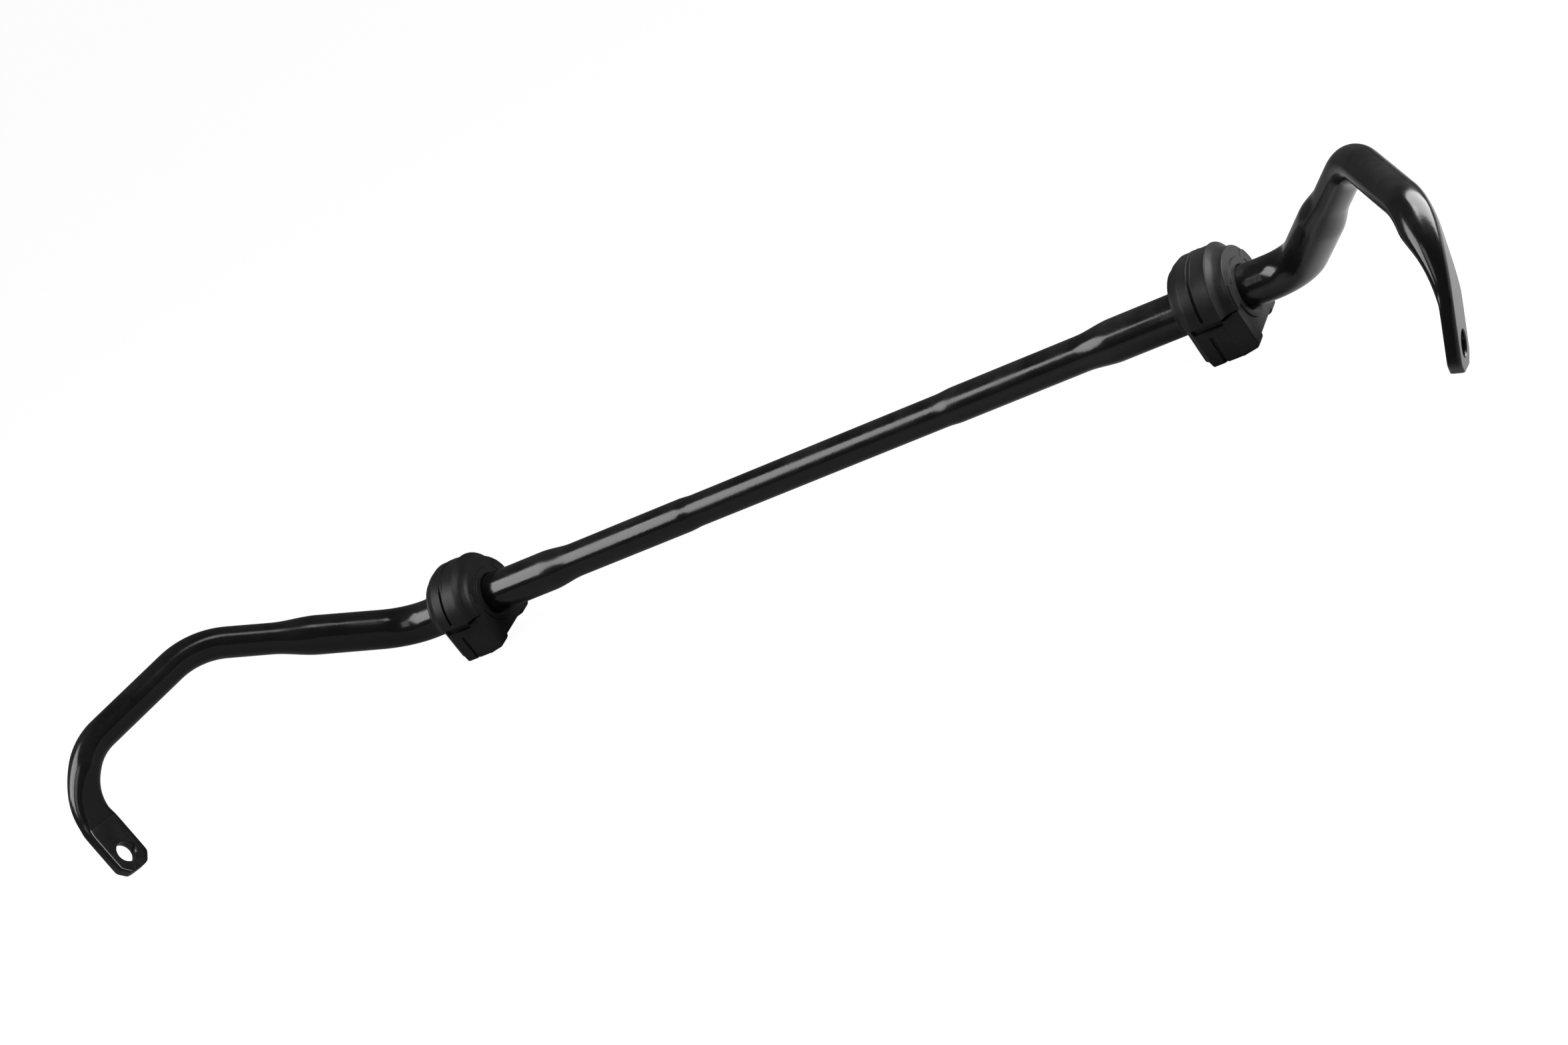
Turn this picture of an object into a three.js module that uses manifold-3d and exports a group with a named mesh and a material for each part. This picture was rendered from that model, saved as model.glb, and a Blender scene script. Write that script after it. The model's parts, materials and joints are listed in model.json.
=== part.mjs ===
// Sway bar: one swaged tube with flattened arm ends, carried in two split rubber bushes.
// Millimetres. +X runs along the shaft, -Y is where the arms reach, +Z is the domed side of the bushes.
import * as THREE from 'three';
import { mergeVertices } from 'three/addons/utils/BufferGeometryUtils.js';
import Module from 'manifold-3d';

const wasm = await Module();
wasm.setup();
const { Manifold, Mesh } = wasm;

// Shaft
const shaft_half = 311.4;
const seat_d = 24;
const run_d = 20.2;
const middle_d = 19;
const arm_d = 19.2;
const wall = 3.4;
const middle_half = 86.2;
const middle_taper = 10;
const seat_reach = 61.5;
const seat_taper = 22;

// Arm bends, each from the bend before it
const rise = new THREE.Vector3(83.4, -69, 72);
const reach = new THREE.Vector3(54.7, -94.7, -3);
const drop = new THREE.Vector3(-17.8, -14.5, -54.9);
const bend_r = [38, 54, 36];
const swage_start = 56;
const swage_taper = 28;

// Flattened arm end
const paddle_t = 6.8;
const paddle_w = 25.4;
const paddle_bevel = 1;
const ramp = 26;
const crease_to_hole = 22;
const hole_to_tip = 12.4;
const face_turn = THREE.MathUtils.degToRad(6.5);
const tip_clip = 7;
const hole_d = 13;
const seam = 0.4;

// Bushes
const bush_setback = 50.3;
const bush_offset = 1.25;
const bush_len = 33.5;
const rim_rubber = 11.2;
const rim_to_body = 4.4;
const body_to_peak = 0.6;
const bush_rim_r = seat_d / 2 + rim_rubber;
const bush_body_r = bush_rim_r + rim_to_body;
const bush_peak_r = bush_body_r + body_to_peak;
const bush_rim_len = 2.4;
const bush_swell = 5;
const bush_neck = 3.4;
const bush_cone = 4.8;
const curve_steps = 4;
const collar_r = seat_d / 2 + 4.5;
const collar_len = 1;
const groove_x = -0.75;
const groove_w = 1.6;
const groove_depth = 1.2;
const groove_slope = 0.48;
const foot_inset = 0.8;
const foot_taper = 1.2;
const foot_short = 1;
const foot_half_top = bush_rim_r - foot_inset;
const foot_half_base = foot_half_top - foot_taper;
const foot_depth = bush_body_r - foot_short;
const foot_end_rise = 3;
const foot_end_len = 2.5;
const foot_step_len = 1.7;
const foot_ramp_rise = 2.4;
const foot_ramp_len = 12.2;
const pocket_depth = 2;
const pocket_h = 5.8;
const fit_gap = 0.35;

// Stiffener shells inside the rubber
const inner_rubber = 5.6;
const stiff_r = seat_d / 2 + inner_rubber;
const stiff_t = 1.6;
const stiff_end = 2;
const stiff_gap = 0.3;

// How finely curves are cut
const ring_n = 24;
const bore_n = 40;
const bend_step = THREE.MathUtils.degToRad(7.5);
const flat_from = ring_n / 6;
const side_from = 5 * ring_n / 24;

const V = (x, y, z) => new THREE.Vector3(x, y, z);
const smooth = (a, b, x) => THREE.MathUtils.smoothstep(x, a, b);
const mix = THREE.MathUtils.lerp;

// --- solids -------------------------------------------------------------------------------------

// A closed body through rings of points, each ring the same length, wound the same way.
function loft(rings) {
  const n = rings[0].length;
  const pos = rings.flat().flatMap((p) => [p.x, p.y, p.z]);
  const tri = [];
  for (let i = 0; i + 1 < rings.length; i++) {
    for (let j = 0; j < n; j++) {
      const a = i * n + j;
      const b = i * n + (j + 1) % n;
      tri.push(a, b, b + n, a, b + n, a + n);
    }
  }
  const flat = (ring, turn) => {
    const last = ring * n;
    for (const [a, b, c] of capTriangles(rings[ring])) {
      tri.push(...(turn ? [last + a, last + c, last + b] : [last + a, last + b, last + c]));
    }
  };
  flat(0, true);
  flat(rings.length - 1, false);
  const g = new THREE.BufferGeometry();
  g.setAttribute('position', new THREE.Float32BufferAttribute(pos, 3));
  g.setIndex(tri);
  return g;
}

// Triangles over a flat ring, found in the plane that the ring lies in.
function capTriangles(ring) {
  const origin = ring[0];
  const normal = V(0, 0, 0);
  ring.forEach((p, i) => normal.add(V(0, 0, 0).crossVectors(p, ring[(i + 1) % ring.length])));
  normal.normalize();
  const u = ring[1].clone().sub(origin).normalize();
  const v = V(0, 0, 0).crossVectors(normal, u);
  const flat = ring.map((p) => {
    const q = p.clone().sub(origin);
    return new THREE.Vector2(q.dot(u), q.dot(v));
  });
  return THREE.ShapeUtils.triangulateShape(flat, []);
}

function solid(geometry) {
  const g = geometry.clone();
  g.deleteAttribute('normal');
  g.deleteAttribute('uv');
  const m = mergeVertices(g, 1e-5);
  return new Manifold(new Mesh({
    numProp: 3,
    vertProperties: new Float32Array(m.attributes.position.array),
    triVerts: new Uint32Array(m.index.array),
  }));
}

function geometryOf(body) {
  const m = body.getMesh();
  const g = new THREE.BufferGeometry();
  g.setAttribute('position', new THREE.Float32BufferAttribute(m.vertProperties, 3));
  g.setIndex(Array.from(m.triVerts));
  const open = g.toNonIndexed();
  open.computeVertexNormals();
  return open;
}

function box(x0, x1, y0, y1, z0, z1) {
  const g = new THREE.BoxGeometry(x1 - x0, y1 - y0, z1 - z0);
  g.translate((x0 + x1) / 2, (y0 + y1) / 2, (z0 + z1) / 2);
  return solid(g);
}

// A round bar between two points.
function rod(from, to, r, sides) {
  const span = to.clone().sub(from);
  const g = new THREE.CylinderGeometry(r, r, span.length(), sides);
  const turn = new THREE.Quaternion().setFromUnitVectors(V(0, 1, 0), span.clone().normalize());
  g.applyQuaternion(turn);
  const centre = from.clone().add(to).multiplyScalar(0.5);
  g.translate(centre.x, centre.y, centre.z);
  return solid(g);
}

// --- the bar's centreline -----------------------------------------------------------------------

const bend_1 = V(shaft_half, 0, 0);
const bend_2 = bend_1.clone().add(rise);
const bend_3 = bend_2.clone().add(reach);
const arm_end = bend_3.clone().add(drop);
const drop_dir = drop.clone().normalize();

// How far before a corner its bend starts.
function tangentLength(a, b, c, r) {
  const turn = b.clone().sub(a).angleTo(c.clone().sub(b));
  return r * Math.tan(turn / 2);
}

// Stations from the middle of the shaft to the right arm's tip: a point, its heading, and how far
// it lies along the line.
function centreline() {
  const tip = arm_end.clone().addScaledVector(drop_dir, hole_to_tip);
  const corners = [V(0, 0, 0), bend_1, bend_2, bend_3, tip];
  const marks = shaftMarks();
  const out = [];
  let s = 0;
  const add = (point, dir) => {
    if (out.length) s += point.distanceTo(out[out.length - 1].point);
    out.push({ point: point.clone(), dir: dir.clone(), s });
  };
  let at = corners[0];
  corners.slice(1, -1).forEach((corner, k) => {
    const next = corners[k + 2];
    const into = corner.clone().sub(corners[k]).normalize();
    const away = next.clone().sub(corner).normalize();
    const turn = into.angleTo(away);
    const back = tangentLength(corners[k], corner, next, bend_r[k]);
    const start = corner.clone().addScaledVector(into, -back);
    const length = start.distanceTo(at);
    marks[k].filter((m) => m < length - 1).forEach((m) => add(at.clone().addScaledVector(into, m), into));
    const inward = away.clone().addScaledVector(into, -away.dot(into)).normalize();
    const hub = start.clone().addScaledVector(inward, bend_r[k]);
    const steps = Math.ceil(turn / bend_step);
    for (let i = 0; i <= steps; i++) {
      const a = turn * i / steps;
      const p = hub.clone().addScaledVector(inward, -bend_r[k] * Math.cos(a));
      p.addScaledVector(into, bend_r[k] * Math.sin(a));
      add(p, into.clone().multiplyScalar(Math.cos(a)).addScaledVector(inward, Math.sin(a)));
    }
    at = out[out.length - 1].point;
  });
  const to_tip = at.distanceTo(tip);
  const to_crease = to_tip - hole_to_tip - crease_to_hole;
  for (const m of [to_crease, to_tip - tip_clip, to_tip]) {
    add(at.clone().addScaledVector(drop_dir, m), drop_dir);
  }
  return out;
}

// Places along each straight stretch where the diameter starts or stops changing.
function shaftMarks() {
  const bush_x = shaft_half - bush_setback;
  const seat_x = bush_x - seat_reach;
  const first_back = tangentLength(V(0, 0, 0), bend_1, bend_2, bend_r[0]);
  const swage = swage_start - first_back;
  return [
    [0, middle_half, middle_half + middle_taper, seat_x - seat_taper, seat_x - seat_taper / 2, seat_x],
    [swage, swage + swage_taper / 2, swage + swage_taper],
    [],
  ];
}

// The tube's outer radius at a distance s along the line.
function tubeRadius(s, swage_s) {
  const seat_s = shaft_half - bush_setback - seat_reach;
  const to_run = mix(middle_d, run_d, smooth(middle_half, middle_half + middle_taper, s));
  const to_seat = mix(to_run, seat_d, smooth(seat_s - seat_taper, seat_s, s));
  return mix(to_seat, arm_d, smooth(swage_s, swage_s + swage_taper, s)) / 2;
}

// Section directions that don't twist, found from the flat end inwards.
function frames(line) {
  const outward = flatNormal();
  let side = outward;
  const out = [];
  for (const station of [...line].reverse()) {
    side = side.clone().addScaledVector(station.dir, -side.dot(station.dir)).normalize();
    out.unshift({ ...station, side, across: V(0, 0, 0).crossVectors(station.dir, side) });
  }
  return out;
}

// The way that the link faces look: as near to +X as the drop of the arm allows, then turned a
// little about the drop.
function flatNormal() {
  const x = V(1, 0, 0);
  return x.addScaledVector(drop_dir, -x.dot(drop_dir)).normalize().applyAxisAngle(drop_dir, -face_turn);
}

// --- the bar ------------------------------------------------------------------------------------

// One corner of a bevelled rectangle, for the ring's j-th point.
function flatCorner(j, half_t, half_w, bevel) {
  const half = ring_n / 2;
  const k = j <= half ? j : ring_n - j;
  const sign = j <= half ? 1 : -1;
  const face = k <= half / 2 ? 1 : -1;
  const m = k <= half / 2 ? k : half - k;
  const angle = (i) => i * 2 * Math.PI / ring_n;
  if (m <= flat_from) {
    const share = Math.sin(angle(m)) / Math.sin(angle(flat_from));
    return [face * half_t, sign * (half_w - bevel) * share];
  }
  const share = Math.cos(angle(m)) / Math.cos(angle(side_from));
  return [face * (half_t - bevel) * share, sign * half_w];
}

// A ring across the tube: round, or pressed flat against its outer side.
function section(station, r, flatness, half_t, half_w, bevel, shift) {
  const ring = [];
  for (let j = 0; j < ring_n; j++) {
    const a = j * 2 * Math.PI / ring_n;
    const [n, b] = flatCorner(j, half_t, half_w, bevel);
    const out = mix(r * Math.cos(a), n + shift, flatness);
    const over = mix(r * Math.sin(a), b, flatness);
    const p = station.point.clone().addScaledVector(station.side, out);
    ring.push(p.addScaledVector(station.across, over));
  }
  return ring;
}

function tube(inset) {
  const line = frames(centreline());
  const end_s = line[line.length - 1].s;
  const crease_s = end_s - hole_to_tip - crease_to_hole;
  const swage_s = shaft_half + swage_start - bendSaving();
  const shift = arm_d / 2 - paddle_t / 2;
  const half_t = inset ? seam / 2 : paddle_t / 2;
  const half_w = paddle_w / 2 - inset;
  const bevel = inset ? seam / 4 : paddle_bevel;
  const half = line.map((st) => {
    const flatness = THREE.MathUtils.clamp((st.s - crease_s + ramp) / ramp, 0, 1);
    const r = tubeRadius(st.s, swage_s) - inset;
    const clip = inset ? 0 : tip_clip * THREE.MathUtils.clamp((st.s - end_s + tip_clip) / tip_clip, 0, 1);
    return section(st, r, flatness, half_t, half_w - clip, bevel, shift);
  });
  if (inset) half.push(half[half.length - 1].map((p) => p.clone().addScaledVector(drop_dir, wall)));
  const mirrored = half.slice(1).map((ring) => ring.map((p) => V(-p.x, p.y, p.z))).reverse();
  return solid(loft([...mirrored, ...half]));
}

// How much shorter the line is for cutting the first corner with a bend.
function bendSaving() {
  const turn = bend_1.angleTo(rise);
  return 2 * tangentLength(V(0, 0, 0), bend_1, bend_2, bend_r[0]) - turn * bend_r[0];
}

function linkHole(sign) {
  const normal = flatNormal();
  const from = arm_end.clone().addScaledVector(normal, -arm_d);
  const to = arm_end.clone().addScaledVector(normal, arm_d);
  [from, to].forEach((p) => { p.x *= sign; });
  return rod(from, to, hole_d / 2, ring_n);
}

function bar() {
  let body = tube(0).subtract(tube(wall));
  for (const sign of [-1, 1]) body = body.subtract(linkHole(sign));
  return geometryOf(body);
}

// --- bushes -------------------------------------------------------------------------------------

// The dome's outer radius along the bush, x measured from its middle.
function domeProfile() {
  const half = bush_len / 2;
  const swell_x = -half + bush_rim_len;
  const neck_x = half - bush_neck;
  const steps = Array.from({ length: curve_steps + 1 }, (_, i) => i / curve_steps);
  const swell = steps.slice(1).map((t) => {
    const a = Math.PI / 2 * t;
    return [swell_x + bush_swell * (1 - Math.cos(a)), mix(bush_rim_r, bush_body_r, Math.sin(a))];
  });
  const groove = [
    [groove_x - groove_w, bush_body_r],
    [groove_x - groove_w + groove_slope, bush_body_r - groove_depth],
    [groove_x - groove_slope, bush_body_r - groove_depth],
    [groove_x, bush_body_r],
  ];
  const cone = steps.map((t) => {
    return [neck_x - bush_cone * (1 - t), mix(bush_rim_r, bush_peak_r, (1 - t) ** 2)];
  });
  return [[-half, bush_rim_r], [swell_x, bush_rim_r], ...swell, ...groove, ...cone, [half, bush_rim_r]];
}

function upperRubber() {
  const rings = domeProfile().map(([x, r]) => {
    const ring = [];
    for (let j = 0; j < bore_n; j++) {
      const a = j * 2 * Math.PI / bore_n;
      ring.push(V(x, r * Math.cos(a), r * Math.sin(a)));
    }
    return ring;
  });
  return solid(loft(rings)).add(collar()).subtract(halfSpace(-1));
}

// The low ring that stands round the bar on the bush's near end.
function collar() {
  const half = bush_len / 2;
  return rod(V(0, 0, 0), V(half + collar_len, 0, 0), collar_r, bore_n);
}

// Everything on one side of the split, and the gap at it.
function halfSpace(up) {
  const big = bush_len + bush_peak_r;
  const away = up > 0 ? [-fit_gap / 2, big] : [-big, fit_gap / 2];
  return box(-big, big, -big, big, ...away);
}

// The foot's outline at one place along the bush.
function footRing(x, depth) {
  const top = -fit_gap / 2;
  return [
    V(x, -foot_half_top, top),
    V(x, -foot_half_base, -depth),
    V(x, foot_half_base, -depth),
    V(x, foot_half_top, top),
  ];
}

function lowerRubber() {
  const half = bush_len / 2;
  const step_x = -half + foot_end_len;
  const flat_from = step_x + foot_step_len;
  const flat_to = half - foot_ramp_len;
  const block = solid(loft([
    footRing(-half, foot_depth - foot_end_rise),
    footRing(step_x, foot_depth - foot_end_rise),
    footRing(flat_from, foot_depth),
    footRing(flat_to, foot_depth),
    footRing(half, foot_depth - foot_ramp_rise),
  ]));
  const inner = foot_half_top - pocket_depth;
  const outer = foot_half_top + 1;
  let body = block.add(collar().subtract(halfSpace(1)));
  for (const [y0, y1] of [[-outer, -inner], [inner, outer]]) {
    body = body.subtract(box(flat_from, flat_to, y0, y1, -pocket_h, 1));
  }
  return body;
}

// A half shell round the bar's axis, above the split when up is 1 and below it when -1.
function halfShell(up, inner, outer, from, to, gap) {
  const ring = rod(V(from, 0, 0), V(to, 0, 0), outer, bore_n)
    .subtract(rod(V(from - 1, 0, 0), V(to + 1, 0, 0), inner, bore_n));
  const big = outer + 1;
  const away = up > 0 ? [-big, gap] : [-gap, big];
  return ring.subtract(box(from - 1, to + 1, -big, big, ...away));
}

function rubberHalf(up) {
  const half = bush_len / 2;
  const reach_x = half + collar_len + 1;
  const bore = rod(V(-reach_x, 0, 0), V(reach_x, 0, 0), seat_d / 2 + fit_gap, bore_n);
  const from = -half + stiff_end - stiff_gap;
  const slot = halfShell(up, stiff_r - stiff_gap, stiff_r + stiff_t + stiff_gap, from, -from, 0);
  const block = up > 0 ? upperRubber() : lowerRubber();
  return geometryOf(block.subtract(bore).subtract(slot));
}

function stiffener(up) {
  const to = bush_len / 2 - stiff_end;
  return geometryOf(halfShell(up, stiff_r, stiff_r + stiff_t, -to, to, stiff_gap));
}

// --- materials ----------------------------------------------------------------------------------

const gloss_black = new THREE.MeshStandardMaterial({ color: 0x0b0b0c, roughness: 0.18, metalness: 0.1 });
const black_rubber = new THREE.MeshStandardMaterial({ color: 0x2a2a2b, roughness: 0.75, metalness: 0 });
const pressed_steel = new THREE.MeshStandardMaterial({ color: 0x8d9094, roughness: 0.45, metalness: 1 });

// --- assembly -----------------------------------------------------------------------------------

const sway_bar = new THREE.Group();

function node(name, geometry, material, parent) {
  const mesh = new THREE.Mesh(geometry, material);
  mesh.name = name;
  parent.add(mesh);
}

node('bar', bar(), gloss_black, sway_bar);
for (const [side, sign] of [['left', -1], ['right', 1]]) {
  const bush = new THREE.Group();
  bush.position.x = sign * (shaft_half - bush_setback) + bush_offset;
  for (const [half, up] of [['upper', 1], ['lower', -1]]) {
    node(`${side}_bush_${half}`, rubberHalf(up), black_rubber, bush);
    node(`${side}_stiffener_${half}`, stiffener(up), pressed_steel, bush);
  }
  sway_bar.add(bush);
}

// The origin is the middle of the underside of the whole part.
const extent = new THREE.Box3().setFromObject(sway_bar, true);
sway_bar.position.set(0, -(extent.min.y + extent.max.y) / 2, -extent.min.z);

export default sway_bar;
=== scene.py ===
"""Sway bar: a gloss black tube with pressed, drilled arm ends, carried in two split rubber bushes."""

import json
import math

import bmesh
import bpy
from mathutils import Matrix, Quaternion, Vector


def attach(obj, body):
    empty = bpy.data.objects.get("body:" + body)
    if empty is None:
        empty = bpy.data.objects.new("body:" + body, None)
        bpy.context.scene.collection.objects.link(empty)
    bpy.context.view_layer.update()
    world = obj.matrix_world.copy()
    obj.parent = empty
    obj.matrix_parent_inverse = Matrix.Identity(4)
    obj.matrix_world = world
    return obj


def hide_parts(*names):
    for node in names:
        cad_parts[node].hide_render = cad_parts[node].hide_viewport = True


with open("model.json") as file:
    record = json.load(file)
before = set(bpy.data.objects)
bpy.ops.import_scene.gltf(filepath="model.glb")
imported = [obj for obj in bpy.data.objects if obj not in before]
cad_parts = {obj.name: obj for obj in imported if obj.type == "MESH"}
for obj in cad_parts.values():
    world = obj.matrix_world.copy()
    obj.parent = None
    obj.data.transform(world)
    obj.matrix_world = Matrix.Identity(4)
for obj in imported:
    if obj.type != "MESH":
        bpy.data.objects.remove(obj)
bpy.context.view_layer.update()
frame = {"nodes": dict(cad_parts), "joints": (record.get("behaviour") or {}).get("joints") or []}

MM = 0.001
pivots = {j["child"]: Vector(j["pos_m"]) for j in frame["joints"]}
AXIS = Vector((0, pivots["right_bush"].y, pivots["right_bush"].z))
BUSH_SPAN = pivots["right_bush"].x - pivots["left_bush"].x

# The bar, as in the part: diameters halved, and places along its line
SHAFT_HALF = BUSH_SPAN / 2 + 50.3 * MM
SEAT_R = 12 * MM
RUN_R = 10.1 * MM
MIDDLE_R = 9.5 * MM
ARM_R = 9.56 * MM
MIDDLE_HALF = 86.2 * MM
MIDDLE_TAPER = 10 * MM
SEAT_START = BUSH_SPAN / 2 - 61.5 * MM
SEAT_TAPER = 22 * MM
RISE = Vector((83.4, -69, 72)) * MM
REACH = Vector((54.7, -94.7, -3)) * MM
DROP = Vector((-17.8, -14.5, -54.9)) * MM
BEND_R = [38 * MM, 54 * MM, 36 * MM]
SWAGE_START = 56 * MM
SWAGE_TAPER = 28 * MM

# The pressed arm end
PADDLE_T = 6.8 * MM
PADDLE_W = 25.4 * MM
PADDLE_ROUND = 1.5 * MM
RAMP = 36 * MM
CREASE_TO_HOLE = 22 * MM
CLIP_START = 6.8 * MM
TIP = 12.4 * MM
FACE_TURN = math.radians(6.5)
HOLE_R = 6.5 * MM
HOLE_EDGE = 0.4 * MM
SEAM = 0.3 * MM
DIP = 0.6 * MM  # how far the outer side sinks, at most, half way down the ramp
CREASE_SOFT = 0.05  # share of the ramp over which the crease is eased
WIDTH_LAG = 1.8  # how much later the width grows than the thickness goes

# The bushes, measured from a bush's middle and the bar's axis
BUSH_HALF = 16.75 * MM
COLLAR_R = 16.5 * MM
COLLAR_LEN = 1 * MM
COLLAR_EASE = 0.3 * MM
BORE_R = SEAT_R + 0.15 * MM
SPLIT = 0.15 * MM

# How finely curves are cut
RING = 96
BEND_STEP = math.radians(2.5)
BUSH_STEPS = 90
BUSH_SLICE = 0.45  # between places along a lower half, in millimetres
FOOT_RING = 220
FOOT_OUTER = 130
FLAT_STEPS = 10
SHARP = math.radians(32)


# --- meshes ---------------------------------------------------------------------------------------

def as_object(name, bm):
    """A finished bmesh as a smooth-shaded object that keeps its hard edges."""
    bmesh.ops.remove_doubles(bm, verts=bm.verts, dist=1e-7)
    bmesh.ops.recalc_face_normals(bm, faces=bm.faces)
    mesh = bpy.data.meshes.new(name)
    bm.to_mesh(mesh)
    bm.free()
    mesh.shade_smooth()
    mesh.set_sharp_from_angle(angle=SHARP)
    piece = bpy.data.objects.new(name, mesh)
    bpy.context.scene.collection.objects.link(piece)
    return piece


def cut(piece, *cutters):
    """Takes the cutters' shapes out of the piece."""
    for cutter in cutters:
        step = piece.modifiers.new("cut", "BOOLEAN")
        step.operation = "DIFFERENCE"
        step.solver = "EXACT"
        step.object = cutter
    bpy.context.view_layer.update()
    shaped = piece.evaluated_get(bpy.context.evaluated_depsgraph_get())
    mesh = bpy.data.meshes.new_from_object(shaped)
    mesh.name = piece.name
    piece.modifiers.clear()
    piece.data = mesh
    mesh.shade_smooth()
    mesh.set_sharp_from_angle(angle=SHARP)
    for cutter in cutters:
        bpy.data.objects.remove(cutter)


def ring_parts(geom):
    """The vertices of a new ring and the edges that join them to each other."""
    verts = [g for g in geom if isinstance(g, bmesh.types.BMVert)]
    own = set(verts)
    edges = [g for g in geom if isinstance(g, bmesh.types.BMEdge) and own.issuperset(g.verts)]
    return verts, edges


def extend(bm, edges, step, scale=1, centre=None):
    """Carries a ring on by one step, grown or shrunk about its new centre."""
    made = bmesh.ops.extrude_edge_only(bm, edges=edges)
    verts, edges = ring_parts(made["geom"])
    bmesh.ops.translate(bm, verts=verts, vec=step)
    if scale != 1:
        bmesh.ops.scale(bm, verts=verts, vec=(scale,) * 3, space=Matrix.Translation(-centre))
    return edges


def closed_loop(bm, points):
    """A loop of edges through some points."""
    verts = [bm.verts.new(p) for p in points]
    return [bm.edges.new((a, b)) for a, b in zip(verts, verts[1:] + verts[:1])]


def rounded(points, step=math.radians(15)):
    """A path through (a, b, fillet) corners, with each corner rounded to its fillet."""
    path = []
    befores = points[-1:] + points[:-1]
    afters = points[1:] + points[:1]
    for before, (along, out, fillet), after in zip(befores, points, afters):
        corner = Vector((along, out))
        if not fillet:
            path.append(corner)
            continue
        into = (corner - Vector(before[:2])).normalized()
        away = (Vector(after[:2]) - corner).normalized()
        turn = into.angle(away)
        inward = (away - into * away.dot(into)).normalized()
        start = corner - into * fillet * math.tan(turn / 2)
        hub = start + inward * fillet
        count = max(2, math.ceil(turn / step))
        for i in range(count + 1):
            angle = turn * i / count
            path.append(hub - inward * fillet * math.cos(angle) + into * fillet * math.sin(angle))
    return path


def evenly(path, count):
    """The same path as a number of evenly spaced points."""
    lengths = [(b - a).length for a, b in zip(path, path[1:])]
    total = sum(lengths)
    out = []
    k, done = 0, 0
    for i in range(count):
        want = total * i / (count - 1)
        while k < len(lengths) - 1 and done + lengths[k] < want:
            done += lengths[k]
            k += 1
        out.append(path[k].lerp(path[k + 1], (want - done) / lengths[k]))
    return out


def smooth(a, b, x):
    """Rises from 0 at a to 1 at b, level at both ends; a may be the larger."""
    t = min(max((x - a) / (b - a), 0), 1)
    return t * t * (3 - 2 * t)


def mix(a, b, t):
    return a + (b - a) * t


def spread(start, stop, step):
    """Evenly spaced places after start, up to and with stop."""
    count = max(1, math.ceil((stop - start) / step))
    return [mix(start, stop, (i + 1) / count) for i in range(count)]


# --- the bar --------------------------------------------------------------------------------------

class Bend:
    """One bend of the bar, between the straight that comes before its corner and the one after."""

    def __init__(self, corner, before, after, radius):
        self.ahead = before.normalized()
        self.away = after.normalized()
        self.radius = radius
        self.turn = self.ahead.angle(self.away)
        self.axis = self.ahead.cross(self.away).normalized()
        self.back = radius * math.tan(self.turn / 2)
        self.start = corner - self.ahead * self.back
        self.end = corner + self.away * self.back
        self.inward = (self.away - self.ahead * self.away.dot(self.ahead)).normalized()
        self.hub = self.start + self.inward * radius


def bar_bends():
    bend_1 = Vector((SHAFT_HALF, 0, 0))
    bend_2 = bend_1 + RISE
    bend_3 = bend_2 + REACH
    return [
        Bend(bend_1, Vector((1, 0, 0)), RISE, BEND_R[0]),
        Bend(bend_2, RISE, REACH, BEND_R[1]),
        Bend(bend_3, REACH, DROP, BEND_R[2]),
    ]


def face_normal():
    """The way that a link face looks: nearly outwards, square to the drop of the arm."""
    down = DROP.normalized()
    out = Vector((1, 0, 0)) - down * down.x
    return Quaternion(down, -FACE_TURN) @ out.normalized()


def shaft_radius(x):
    radius = mix(MIDDLE_R, RUN_R, smooth(MIDDLE_HALF, MIDDLE_HALF + MIDDLE_TAPER, x))
    return mix(radius, SEAT_R, smooth(SEAT_START - SEAT_TAPER, SEAT_START, x))


def rise_radius(d):
    return mix(SEAT_R, ARM_R, smooth(SWAGE_START, SWAGE_START + SWAGE_TAPER, d))


def straight(bm, edges, start, heading, places, radius_at):
    """Runs a ring along a straight stretch, through places measured from its start."""
    here = 0
    radius = radius_at(0)
    for place in places:
        centre = start + heading * place
        scale = radius_at(place) / radius
        edges = extend(bm, edges, heading * (place - here), scale, centre)
        here = place
        radius = radius_at(place)
    return edges


def round_bend(bm, edges, bend):
    steps = math.ceil(bend.turn / BEND_STEP)
    made = bmesh.ops.spin(bm, geom=edges, cent=bend.hub, axis=bend.axis, angle=bend.turn, steps=steps)
    return ring_parts(made["geom_last"])[1]


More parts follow.
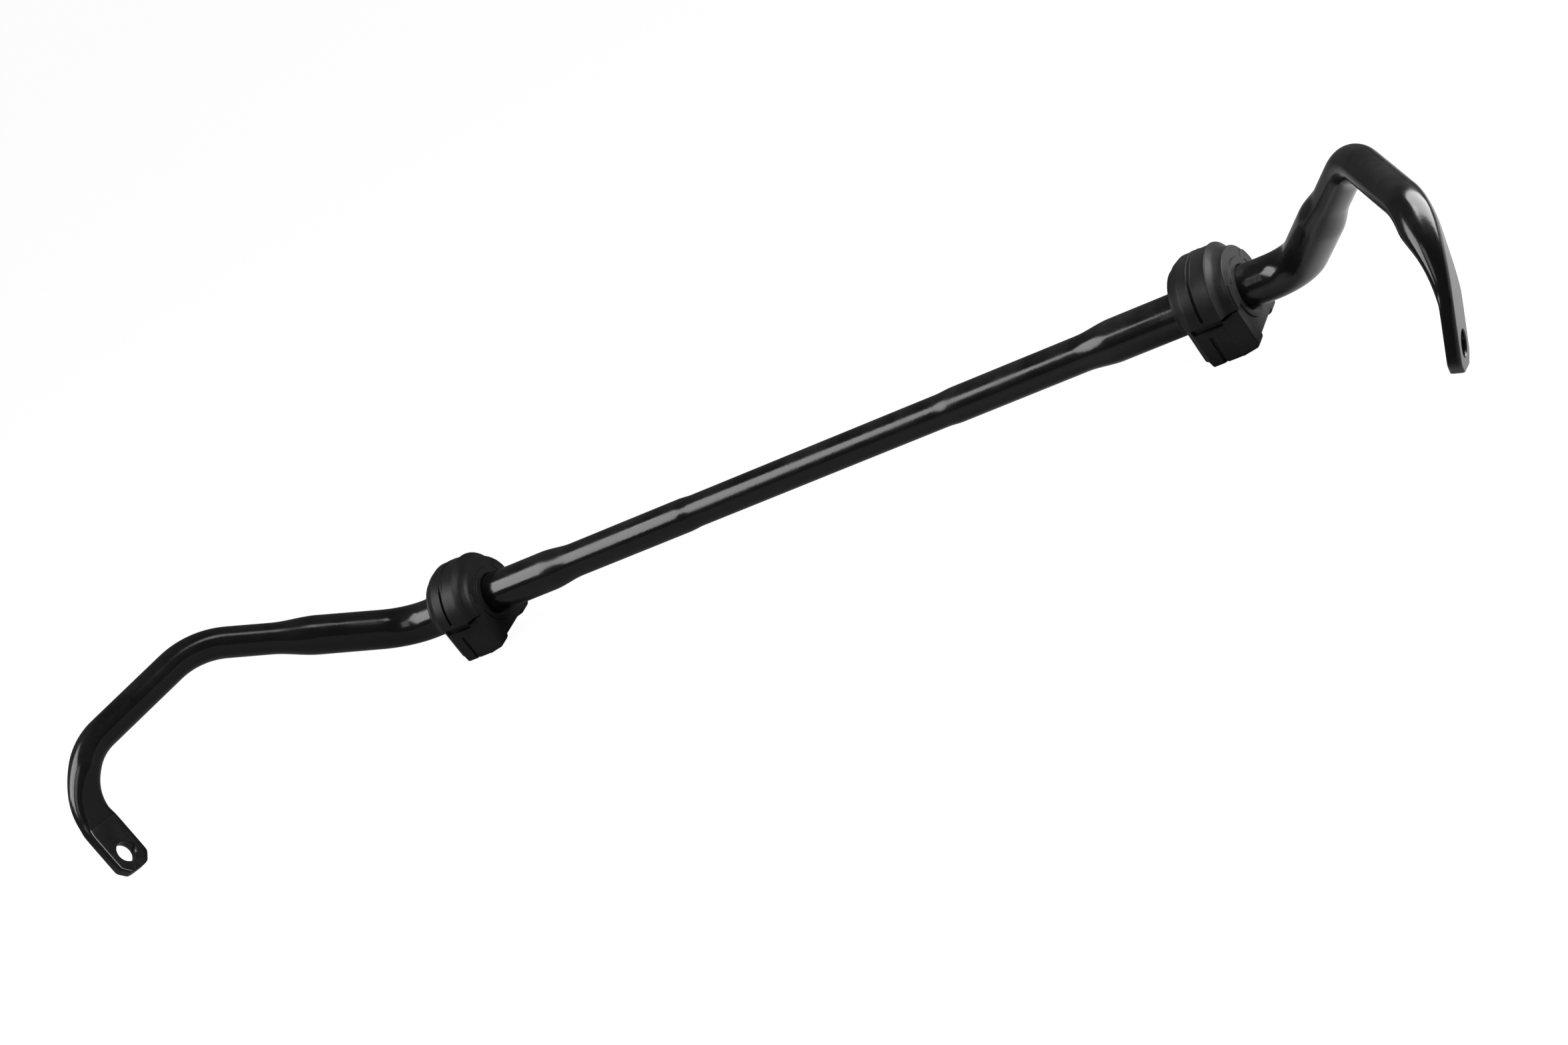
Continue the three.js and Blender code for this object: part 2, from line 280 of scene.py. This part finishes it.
def tube_half(bm):
    """The right half as a plain round tube, from the middle of the shaft to the tip."""
    bends = bar_bends()
    side = face_normal()
    for bend in reversed(bends):
        side = Quaternion(bend.axis, -bend.turn) @ side
    heading = bends[0].ahead
    turned = Matrix((side, heading.cross(side), heading)).transposed().to_4x4()
    bmesh.ops.create_circle(bm, segments=RING, radius=MIDDLE_R, matrix=turned)
    edges = list(bm.edges)
    shaft = [MIDDLE_HALF]
    shaft += spread(MIDDLE_HALF, MIDDLE_HALF + MIDDLE_TAPER, 1 * MM)
    shaft += [SEAT_START - SEAT_TAPER]
    shaft += spread(SEAT_START - SEAT_TAPER, SEAT_START, 1.5 * MM)
    shaft += spread(SEAT_START, bends[0].start.x, 12 * MM)
    edges = straight(bm, edges, Vector((0, 0, 0)), heading, shaft, shaft_radius)
    edges = round_bend(bm, edges, bends[0])
    first, second, third = bends
    swage = SWAGE_START - first.back
    length = (second.start - first.end).length
    places = [swage] + spread(swage, swage + SWAGE_TAPER, 2 * MM) + [length]
    edges = straight(bm, edges, first.end, first.away, places, lambda d: rise_radius(d + first.back))
    edges = round_bend(bm, edges, second)
    length = (third.start - second.end).length
    edges = straight(bm, edges, second.end, second.away, [length], lambda d: ARM_R)
    edges = round_bend(bm, edges, third)
    to_hole = (REACH + DROP + second_corner() - third.end).length
    crease = to_hole - CREASE_TO_HOLE
    places = spread(0, crease, 0.6 * MM) + spread(crease, crease + 3 * MM, 0.6 * MM)
    places += spread(crease + 3 * MM, to_hole + 4 * MM, 2 * MM)
    places += spread(to_hole + 4 * MM, to_hole + 7 * MM, 0.5 * MM)
    places += spread(to_hole + 7 * MM, to_hole + 11 * MM, 1 * MM)
    places += spread(to_hole + 11 * MM, to_hole + TIP, 0.2 * MM)
    return straight(bm, edges, third.end, third.away, places, lambda d: ARM_R)


def second_corner():
    return Vector((SHAFT_HALF, 0, 0)) + RISE


def paddle_half_width(past_hole):
    """Half the paddle's width, with its corners clipped beyond the hole and its tip rounded."""
    full = PADDLE_W / 2
    clip = past_hole - CLIP_START
    soft = 0.8 * MM
    clip = (clip + math.sqrt(clip * clip + soft * soft)) / 2
    left = TIP - past_hole
    tip = math.sqrt(max(0, 1 - (1 - min(left / (1.1 * MM), 1)) ** 2))
    return (full - clip) * mix(0.55, 1, tip)


def paddle_half_thick(past_hole):
    """Half its thickness, rounded off at the tip."""
    left = min((TIP - past_hole) / (1 * MM), 1)
    return PADDLE_T / 2 - 1 * MM * (1 - math.sqrt(max(0, 1 - (1 - left) ** 2)))


def on_rounded_box(angle, half_t, half_w, outer_corner, inner_corner):
    """A point as far round a rounded box as the angle is round a circle: (thickness, width)."""
    over = abs(angle)
    face = 1 if over <= math.pi / 2 else -1
    quarter = over if face > 0 else math.pi - over
    corner = outer_corner if face > 0 else inner_corner
    flat = half_w - corner
    arc = corner * math.pi / 2
    d = quarter / (math.pi / 2) * (flat + arc + half_t - corner)
    if d < flat:
        at = (half_t, d)
    elif d < flat + arc:
        a = (d - flat) / corner
        at = (half_t - corner + corner * math.cos(a), flat + corner * math.sin(a))
    else:
        at = (half_t - corner - (d - flat - arc), half_w)
    return face * at[0], math.copysign(at[1], angle)


def press_end(bm):
    """Presses the end of the tube flat, flush with its outer side, easing in round the last bend."""
    bend = bar_bends()[2]
    down = bend.away
    side_end = face_normal()
    hole = second_corner() + REACH + DROP
    straight_len = (hole - bend.end).length
    for v in bm.verts:
        rel = v.co - bend.end
        along = rel.dot(down)
        if along > -1e-7 and rel.length < 60 * MM:
            centre, side, heading = bend.end + down * along, side_end, down
            past = along - straight_len
        else:
            from_hub = v.co - bend.hub
            a = math.atan2(from_hub.dot(bend.ahead), -from_hub.dot(bend.inward))
            left = bend.turn - a
            if a < 0.05 or left < 0 or from_hub.length > bend.radius + 2 * ARM_R:
                continue
            turn = Quaternion(bend.axis, -left)
            centre = bend.hub + turn @ (bend.end - bend.hub)
            side, heading = turn @ side_end, turn @ down
            past = -left * bend.radius - straight_len
        pressed = (past + CREASE_TO_HOLE + RAMP) / RAMP
        if pressed <= 0:
            continue
        short = 1 - pressed
        pressed = 1 - (short + math.hypot(short, CREASE_SOFT)) / 2
        pressed = mix(smooth(0, 1, pressed), pressed, pressed)
        across = heading.cross(side)
        arm = v.co - centre
        angle = math.atan2(arm.dot(across), arm.dot(side))
        half_t = mix(ARM_R, paddle_half_thick(past), pressed)
        half_w = mix(ARM_R, paddle_half_width(past), pressed ** WIDTH_LAG)
        outer = min(mix(ARM_R, PADDLE_ROUND, pressed), half_t)
        inner = min(mix(ARM_R, PADDLE_ROUND, pressed ** 3), half_t)
        out, over = on_rounded_box(angle, half_t, half_w, outer, inner)
        shift = ARM_R - mix(ARM_R, PADDLE_T / 2, pressed) - 4 * DIP * pressed * (1 - pressed)
        v.co = centre + side * (out + shift) + across * over


def hole_cutter(sign):
    """What comes out of an arm end for the link's stud, its two edges eased."""
    bm = bmesh.new()
    half = PADDLE_T / 2
    wide = HOLE_R + HOLE_EDGE
    profile = [
        (0, -2 * half), (wide, -2 * half), (wide, -half), (HOLE_R + 0.12 * MM, -half + 0.28 * MM),
        (HOLE_R, -half + 0.7 * MM), (HOLE_R, half - 0.7 * MM), (HOLE_R + 0.12 * MM, half - 0.28 * MM),
        (wide, half), (wide, 2 * half), (0, 2 * half),
    ]
    verts = [bm.verts.new((r, 0, z)) for r, z in profile]
    edges = [bm.edges.new(pair) for pair in zip(verts, verts[1:])]
    bmesh.ops.spin(bm, geom=verts + edges, cent=(0, 0, 0), axis=(0, 0, 1), angle=math.tau,
                   steps=72, use_merge=True)
    place_on_paddle(bm, sign)
    return as_object("hole_cutter", bm)


def seam_cutter(sign):
    """The thin gap between the pressed walls, open at the tip and in the hole."""
    bm = bmesh.new()
    bmesh.ops.create_cube(bm, size=1)
    bmesh.ops.scale(bm, verts=bm.verts, vec=(2 * (TIP + 2 * MM), PADDLE_W * 0.62, SEAM))
    bmesh.ops.bevel(bm, geom=bm.edges, affect="EDGES", offset=0.1 * MM, segments=2, profile=0.5,
                    material=-1)
    place_on_paddle(bm, sign)
    return as_object("seam_cutter", bm)


def place_on_paddle(bm, sign):
    """Moves a shape made about the origin, its Z across the paddle's thickness, to the hole."""
    down = DROP.normalized()
    out = face_normal()
    centre = second_corner() + REACH + DROP + out * (ARM_R - PADDLE_T / 2)
    turned = Matrix((down, out.cross(down), out)).transposed().to_4x4()
    bmesh.ops.transform(bm, matrix=Matrix.Translation(centre) @ turned, verts=bm.verts)
    if sign < 0:
        bmesh.ops.scale(bm, verts=bm.verts, vec=(-1, 1, 1))
    bmesh.ops.translate(bm, verts=bm.verts, vec=AXIS)


def make_bar():
    bm = bmesh.new()
    tip = tube_half(bm)
    press_end(bm)
    bmesh.ops.holes_fill(bm, edges=tip)
    bmesh.ops.mirror(bm, geom=bm.verts[:] + bm.edges[:] + bm.faces[:], axis="X", merge_dist=1e-6)
    bmesh.ops.translate(bm, verts=bm.verts, vec=AXIS)
    bar = as_object("painted_bar", bm)
    cut(bar, hole_cutter(1), hole_cutter(-1), seam_cutter(1), seam_cutter(-1))
    return bar


# --- bushes ---------------------------------------------------------------------------------------

def dome_profile():
    """The upper half's section: (along the bar, from the axis), in millimetres, with fillets."""
    bore = BORE_R / MM
    end = BUSH_HALF / MM
    collar_end = end + COLLAR_LEN / MM
    return rounded([
        (-end + 0.6, bore, 0), (-end, bore + 0.6, 0.3), (-end, 23.2, 0.8), (-14.4, 23.2, 0.5),
        (-13.3, 25.4, 0.9), (-8.8, 27.6, 2.5),
        (-3.5, 27.6, 0.5), (-3, 27.86, 0.25), (-2.45, 27.82, 0.2), (-2.2, 26.3, 0.25),
        (-0.9, 26.3, 0.25), (-0.65, 27.82, 0.2), (-0.1, 27.86, 0.25), (0.4, 27.6, 0.5),
        (7.6, 27.6, 0.3), (8.15, 28.17, 0.2), (8.8, 28.12, 0.2), (9.1, 27.2, 0.35),
        (11, 24.6, 3.2), (14.4, 23.4, 4), (16, 23.45, 1), (end, 23.35, 0.55),
        (end, 22.75, 0), (end, 22.45, 0), (end, COLLAR_R / MM + 0.4, 0.3),
        (collar_end, COLLAR_R / MM, 0.35), (collar_end, bore + 0.6, 0.3), (collar_end - 0.6, bore, 0),
    ], math.radians(12))


def shape_dome(bm):
    """Deepens the middle groove towards the split, and stands the near end's feet proud."""
    for v in bm.verts:
        x = v.co.x / MM
        r = math.hypot(v.co.y, v.co.z)
        lift = math.degrees(math.asin(min(1, max(0, v.co.z / r))))
        if -4 < x < 0.8 and r > 25 * MM:
            body = 27.6 * MM
            deep = mix(1.15, 0.3, smooth(38, 62, lift)) * smooth(3.6, 6.5, lift)
            ridge = smooth(38, 58, lift)
            grown = body + (r - body) * (deep if r < body else ridge)
            v.co.y *= grown / r
            v.co.z *= grown / r
        if x > 16.6 and COLLAR_R + 0.3 * MM < r < 22.6 * MM:
            v.co.x += COLLAR_LEN * smooth(36, 34, lift)


def make_upper(name, centre):
    """The domed half: its section turned half way round the bar."""
    bm = bmesh.new()
    loop = closed_loop(bm, [(x, r, 0) for x, r in (p * MM for p in dome_profile())])
    bmesh.ops.spin(bm, geom=bm.verts[:] + loop, cent=(0, 0, 0), axis=(1, 0, 0), angle=math.pi,
                   steps=BUSH_STEPS)
    shape_dome(bm)
    bmesh.ops.holes_fill(bm, edges=[e for e in bm.edges if e.is_boundary])
    bmesh.ops.translate(bm, verts=bm.verts, vec=centre + Vector((0, 0, SPLIT)))
    return as_object(name, bm)


def foot_width(x):
    """Half the lower half's width along the bar, in millimetres, at its top."""
    chamfer = min(max((x + 16.75) / 4.3, 0), 1)
    return mix(18.9, 22.4, chamfer) + 0.8 * smooth(5, 5.7, x)


def foot_depth(x):
    """How far its base lies below the axis, in millimetres."""
    depth = mix(23.6, 26.6, smooth(-14.6, -12.3, x))
    near = max((x - 4.6) / 12.2, 0)
    return depth - 2 * near - 1.4 * smooth(14.4, 17.6, x)


def foot_outline(x, inset):
    """The outside of a foot's section, from one edge of the split round to the other."""
    top = -SPLIT / MM
    half = foot_width(x) - inset
    base = half - 1.1
    depth = foot_depth(x) - inset
    corners = [(half, top, 0), (base, -depth, 1.3), (-base, -depth, 1.3), (-half, top, 0)]
    path = evenly(rounded(corners, math.radians(10)), FOOT_OUTER)
    return [relief(x, p, base, depth) for p in path]


def collar_outline(radius):
    """The outside of the low ring that stands round the bar, from just below the split."""
    turn = -math.asin(SPLIT / MM / radius)
    path = []
    for i in range(FOOT_OUTER):
        angle = turn - (math.pi + 2 * turn) * (i + 1) / (FOOT_OUTER + 1)
        path.append(Vector((radius * math.cos(angle), radius * math.sin(angle))))
    return path


def lower_section(x, inset, collar_r):
    """Points round the lower half's section, with as many at every place along the bar."""
    top = -SPLIT / MM
    if collar_r:
        outer = collar_outline(collar_r)
        bore = BORE_R / MM + inset
        lip = math.sqrt(collar_r ** 2 - top ** 2)
    else:
        outer = foot_outline(x, inset)
        bore = BORE_R / MM + (0.5 * inset if x < 0 else 0)
        lip = math.sqrt(((COLLAR_R + COLLAR_EASE) / MM) ** 2 - top ** 2)
    start = math.asin(top / bore)
    edge = bore * math.cos(start)
    flat = [Vector((mix(edge, lip, i / (FLAT_STEPS - 1)), top)) for i in range(FLAT_STEPS)]
    flat_back = [Vector((mix(-lip, -edge, i / FLAT_STEPS), top)) for i in range(FLAT_STEPS)]
    steps = FOOT_RING - FOOT_OUTER - 2 * FLAT_STEPS
    arc = []
    for i in range(steps):
        angle = mix(math.pi - start, math.tau + start, i / steps)
        arc.append(Vector((bore * math.cos(angle), bore * math.sin(angle))))
    return flat + outer + flat_back + arc


def relief(x, p, base, depth):
    """Sinks the pocket under the split and the upright groove into the foot's sides."""
    y, z = p
    on_side = smooth(base - 2.2, base - 0.6, abs(y))
    pocket = smooth(-12.9, -12.1, x) * smooth(5.4, 4.6, x) * smooth(-6.2, -5.4, z)
    half_w = 0.85 * math.sqrt(max(0, 1 - max(0, (z + 11) / 1.2) ** 2))
    groove = smooth(half_w + 0.3, half_w - 0.3, abs(x + 4.8)) if half_w > 0.2 else 0
    edge = mix(-2.7, -0.3, smooth(5.5, 15, x))
    slot = smooth(4.4, 5.2, x) * smooth(edge - 0.5, edge + 0.1, z)
    sink = max(2.2 * max(pocket, slot), 1.1 * groove)
    notch = 1.6 * smooth(8.6, 9.4, x) * smooth(12.8, 12, abs(y)) * smooth(-depth + 2, -depth + 1, z)
    return Vector((y - math.copysign(sink * on_side, y), z + notch))


def lower_stations():
    """Places along the lower half, in millimetres: (x, how far the section shrinks, collar radius)."""
    end = BUSH_HALF / MM
    ease = 0.7
    eased = []
    for degrees in (0, 22, 45, 67):
        angle = math.radians(degrees)
        eased.append((-end + ease * (1 - math.cos(angle)), ease * (1 - math.sin(angle)), 0))
    body = [(x, 0, 0) for x in spread(-end + ease - BUSH_SLICE, end - ease, BUSH_SLICE)]
    near = [(-x, inset, 0) for x, inset, _ in reversed(eased)]
    r = COLLAR_R / MM
    lip = COLLAR_EASE / MM
    tip = end + COLLAR_LEN / MM
    collar = [(end, 0, r + lip), (end + 0.1, 0, r + 0.1), (end + lip, 0, r),
              (tip - lip, 0, r), (tip - 0.1, 0.1, r - 0.1), (tip, lip, r - lip)]
    return eased + body + near + collar


def make_lower(name, centre):
    """The footed half: one round ring carried along the bar, then each ring set to its section."""
    bm = bmesh.new()
    across = Matrix.Rotation(math.pi / 2, 4, "Y")
    bmesh.ops.create_circle(bm, segments=FOOT_RING, radius=1, matrix=across)
    edges = list(bm.edges)
    stations = lower_stations()
    rings = []
    at = stations[0][0]
    for station in stations:
        if rings:
            edges = extend(bm, edges, Vector((station[0] - at, 0, 0)))
        at = station[0]
        rings.append({v for e in edges for v in e.verts})
    for ring, station in zip(rings, stations):
        points = lower_section(*station)
        for v in ring:
            turn = math.atan2(v.co.z, v.co.y) % math.tau
            y, z = points[round(turn / math.tau * FOOT_RING) % FOOT_RING]
            v.co = Vector((station[0], y, z)) * MM
    bmesh.ops.remove_doubles(bm, verts=bm.verts, dist=1e-7)
    bmesh.ops.holes_fill(bm, edges=[e for e in bm.edges if e.is_boundary])
    bmesh.ops.translate(bm, verts=bm.verts, vec=centre)
    return as_object(name, bm)


# --- materials ------------------------------------------------------------------------------------

def new_group(name, inputs, outputs):
    group = bpy.data.node_groups.new(name, "ShaderNodeTree")
    for label, value in inputs:
        socket = group.interface.new_socket(name=label, in_out="INPUT", socket_type="NodeSocketFloat")
        socket.default_value = value
    for label in outputs:
        group.interface.new_socket(name=label, in_out="OUTPUT", socket_type="NodeSocketFloat")
    return group


def node(tree, kind, **settings):
    made = tree.nodes.new(kind)
    for key, value in settings.items():
        setattr(made, key, value)
    return made


def noise(tree, coord, scale, detail=2, roughness=0.5):
    made = node(tree, "ShaderNodeTexNoise")
    made.inputs["Detail"].default_value = detail
    made.inputs["Roughness"].default_value = roughness
    tree.links.new(coord, made.inputs["Vector"])
    if isinstance(scale, bpy.types.NodeSocket):
        tree.links.new(scale, made.inputs["Scale"])
    else:
        made.inputs["Scale"].default_value = scale
    return made.outputs["Fac"]


def ranged(tree, value, low, high, to_low, to_high):
    made = node(tree, "ShaderNodeMapRange", clamp=True)
    for i, v in ((1, low), (2, high), (3, to_low), (4, to_high)):
        made.inputs[i].default_value = v
    tree.links.new(value, made.inputs[0])
    return made.outputs[0]


def maths(tree, operation, a, b):
    made = node(tree, "ShaderNodeMath", operation=operation)
    for socket, value in zip(made.inputs, (a, b)):
        if isinstance(value, bpy.types.NodeSocket):
            tree.links.new(value, socket)
        else:
            socket.default_value = value
    return made.outputs[0]


def grain_group():
    """Fine and broad unevenness: a height for the bump and a slow tone for colour or roughness."""
    group = new_group("surface_grain", [("Fine Scale", 900), ("Broad Scale", 60), ("Broad Share", 0.5)],
                      ["Height", "Tone"])
    given = node(group, "NodeGroupInput")
    out = node(group, "NodeGroupOutput")
    coord = node(group, "ShaderNodeTexCoord").outputs["Object"]
    fine = noise(group, coord, given.outputs["Fine Scale"], 3, 0.6)
    broad = noise(group, coord, given.outputs["Broad Scale"], 3, 0.55)
    share = maths(group, "MULTIPLY", broad, given.outputs["Broad Share"])
    group.links.new(maths(group, "ADD", fine, share), out.inputs["Height"])
    group.links.new(broad, out.inputs["Tone"])
    return group


def dust_group():
    """Where light dust settles: on faces that look up, in soft patches."""
    group = new_group("settled_dust", [("Patch Scale", 45), ("Amount", 0.3)], ["Mask"])
    given = node(group, "NodeGroupInput")
    out = node(group, "NodeGroupOutput")
    coord = node(group, "ShaderNodeTexCoord").outputs["Object"]
    facing = node(group, "ShaderNodeSeparateXYZ")
    group.links.new(node(group, "ShaderNodeNewGeometry").outputs["Normal"], facing.inputs[0])
    up = ranged(group, facing.outputs["Z"], 0.1, 1, 0.15, 1)
    patch = ranged(group, noise(group, coord, given.outputs["Patch Scale"], 5, 0.65), 0.4, 0.7, 0, 1)
    mask = maths(group, "MULTIPLY", maths(group, "MULTIPLY", up, patch), given.outputs["Amount"])
    group.links.new(mask, out.inputs["Mask"])
    return group


def place_group(tree, group, **values):
    made = node(tree, "ShaderNodeGroup", node_tree=group)
    for label, value in values.items():
        made.inputs[label.replace("_", " ")].default_value = value
    return made


def blend_colour(tree, factor, first, second):
    made = node(tree, "ShaderNodeMix", data_type="RGBA")
    tree.links.new(factor, made.inputs["Factor"])
    start, stop = [socket for socket in made.inputs if socket.type == "RGBA"]
    start.default_value = (*first, 1)
    stop.default_value = (*second, 1)
    return next(s for s in made.outputs if s.type == "RGBA")


def new_material(name):
    material = bpy.data.materials.new(name)
    material.use_nodes = True
    return material, material.node_tree, material.node_tree.nodes["Principled BSDF"]


def add_bump(tree, shader, height, distance):
    bump = node(tree, "ShaderNodeBump")
    bump.inputs["Strength"].default_value = 1
    bump.inputs["Distance"].default_value = distance
    tree.links.new(height, bump.inputs["Height"])
    tree.links.new(bump.outputs["Normal"], shader.inputs["Normal"])


def gloss_paint(grain, dust):
    """Black paint with a deep gloss, a slight orange peel and a trace of dust."""
    material, tree, shader = new_material("gloss_black_paint")
    peel = place_group(tree, grain, Fine_Scale=420, Broad_Scale=70, Broad_Share=0.7)
    film = place_group(tree, dust, Patch_Scale=38, Amount=0.5)
    colour = blend_colour(tree, film.outputs["Mask"], (0.0042, 0.0042, 0.0045), (0.03, 0.03, 0.031))
    tree.links.new(colour, shader.inputs["Base Color"])
    rough = ranged(tree, peel.outputs["Tone"], 0.3, 0.7, 0.11, 0.17)
    rough = maths(tree, "ADD", rough, maths(tree, "MULTIPLY", film.outputs["Mask"], 0.25))
    tree.links.new(rough, shader.inputs["Roughness"])
    shader.inputs["IOR"].default_value = 1.5
    add_bump(tree, shader, peel.outputs["Height"], 0.00004)
    return material


def bush_rubber(grain, dust):
    """Moulded rubber: a dull dark grey with a fine mould grain and a soft bloom."""
    material, tree, shader = new_material("moulded_rubber")
    skin = place_group(tree, grain, Fine_Scale=1500, Broad_Scale=120, Broad_Share=0.8)
    film = place_group(tree, dust, Patch_Scale=90, Amount=0.5)
    colour = blend_colour(tree, skin.outputs["Tone"], (0.011, 0.011, 0.011), (0.017, 0.017, 0.017))
    tree.links.new(colour, shader.inputs["Base Color"])
    rough = ranged(tree, skin.outputs["Tone"], 0.3, 0.7, 0.32, 0.4)
    rough = maths(tree, "ADD", rough, maths(tree, "MULTIPLY", film.outputs["Mask"], 0.2))
    tree.links.new(rough, shader.inputs["Roughness"])
    shader.inputs["IOR"].default_value = 1.27
    add_bump(tree, shader, skin.outputs["Height"], 0.00005)
    return material


def pressed_steel(grain):
    """The bushes' inner shells: bare pressed steel with a dull, slightly uneven face."""
    material, tree, shader = new_material("pressed_steel")
    face = place_group(tree, grain, Fine_Scale=1800, Broad_Scale=90, Broad_Share=0.6)
    colour = blend_colour(tree, face.outputs["Tone"], (0.32, 0.33, 0.34), (0.5, 0.5, 0.5))
    tree.links.new(colour, shader.inputs["Base Color"])
    tree.links.new(ranged(tree, face.outputs["Tone"], 0.3, 0.7, 0.34, 0.5), shader.inputs["Roughness"])
    shader.inputs["Metallic"].default_value = 1
    add_bump(tree, shader, face.outputs["Height"], 0.00003)
    return material


# --- scene ----------------------------------------------------------------------------------------

def softbox(name, centre, target, size, radiance):
    """A lit panel turned to its target, which stays out of the camera's sight."""
    data = bpy.data.lights.new(name, "AREA")
    data.shape = "RECTANGLE"
    data.size, data.size_y = size
    data.energy = radiance * math.pi * size[0] * size[1]
    lamp = bpy.data.objects.new(name, data)
    lamp.location = centre
    facing = Vector(target) - Vector(centre)
    lamp.rotation_euler = facing.to_track_quat("-Z", "Y").to_euler()
    lamp.visible_camera = False
    bpy.context.scene.collection.objects.link(lamp)
    return lamp


def make_floor():
    """A wide white floor that the camera sees as bright paper and the bar reflects as a dimmer one."""
    bm = bmesh.new()
    bmesh.ops.create_grid(bm, x_segments=2, y_segments=2, size=30)
    floor = as_object("floor", bm)
    material, tree, shader = new_material("floor_paper")
    shader.inputs["Base Color"].default_value = (0.26, 0.26, 0.26, 1)
    shader.inputs["Roughness"].default_value = 1
    shader.inputs["Specular IOR Level"].default_value = 0
    paper = node(tree, "ShaderNodeEmission")
    paper.inputs["Strength"].default_value = 0.97
    seen = node(tree, "ShaderNodeAddShader")
    pale = node(tree, "ShaderNodeBsdfDiffuse")
    pale.inputs["Color"].default_value = (0.08, 0.08, 0.08, 1)
    tree.links.new(paper.outputs[0], seen.inputs[0])
    tree.links.new(pale.outputs[0], seen.inputs[1])
    choose = node(tree, "ShaderNodeMixShader")
    tree.links.new(node(tree, "ShaderNodeLightPath").outputs["Is Camera Ray"], choose.inputs[0])
    tree.links.new(shader.outputs[0], choose.inputs[1])
    tree.links.new(seen.outputs[0], choose.inputs[2])
    tree.links.new(choose.outputs[0], tree.nodes["Material Output"].inputs["Surface"])
    floor.data.materials.append(material)
    return floor


def make_world():
    """A dim room for the paint to reflect, seen by the camera as white."""
    world = bpy.data.worlds.new("studio")
    bpy.context.scene.world = world
    world.use_nodes = True
    tree = world.node_tree
    room = tree.nodes["Background"]
    room.inputs["Color"].default_value = (0.09, 0.09, 0.09, 1)
    white = node(tree, "ShaderNodeBackground")
    white.inputs["Color"].default_value = (0.95, 0.95, 0.95, 1)
    choose = node(tree, "ShaderNodeMixShader")
    tree.links.new(node(tree, "ShaderNodeLightPath").outputs["Is Camera Ray"], choose.inputs[0])
    tree.links.new(room.outputs[0], choose.inputs[1])
    tree.links.new(white.outputs[0], choose.inputs[2])
    tree.links.new(choose.outputs[0], tree.nodes["World Output"].inputs["Surface"])


def make_camera():
    data = bpy.data.cameras.new("camera")
    data.sensor_width = 36
    data.lens = 80.29
    data.clip_end = 100
    camera = bpy.data.objects.new("camera", data)
    bpy.context.scene.collection.objects.link(camera)
    right = Vector((0.7881, 0.29688, -0.53922))
    up = Vector((0.31331, 0.56057, 0.76655))
    turned = Matrix((right, up, right.cross(up))).transposed()
    place = Vector((1.01029, -1.4539, 0.69215))
    camera.matrix_world = Matrix.LocRotScale(place, turned.to_quaternion(), None)
    bpy.context.scene.camera = camera


# --- assembly -------------------------------------------------------------------------------------

grain = grain_group()
dust = dust_group()
paint = gloss_paint(grain, dust)
rubber = bush_rubber(grain, dust)
steel = pressed_steel(grain)

bar = make_bar()
bar.data.materials.append(paint)
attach(bar, "bar")
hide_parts("bar")

for side in ("left", "right"):
    for half, make in (("upper", make_upper), ("lower", make_lower)):
        moulding = make(f"{side}_{half}_rubber", pivots[f"{side}_bush"])
        moulding.data.materials.append(rubber)
        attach(moulding, f"{side}_bush")
        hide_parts(f"{side}_bush_{half}")
        shell = frame["nodes"][f"{side}_stiffener_{half}"]
        shell.material_slots[0].material = steel

make_world()
make_floor()
middle = (0, 0.05, 0.04)
right_end = (0.43, -0.03, 0.05)
softbox("front_left", (-1.08, -0.62, 1.05), middle, (1.02, 1.15), 5.4)
softbox("front", (-0.22, -1.41, 1.3), middle, (0.65, 1), 1.8)
softbox("back_right", (0.7, 0.26, 0.38), right_end, (0.36, 0.72), 8.5)
softbox("high_right", (1.04, 0.28, 1.75), middle, (0.6, 0.5), 3.2)

# Lights only the floor behind the right arm end, for its outer face to reflect
glow = softbox("floor_glow", (0.48, 0.22, 0.2), (0.46, 0.07, 0), (0.12, 0.12), 44)
glow.visible_glossy = False
make_camera()
bpy.context.scene.view_settings.view_transform = "Standard"
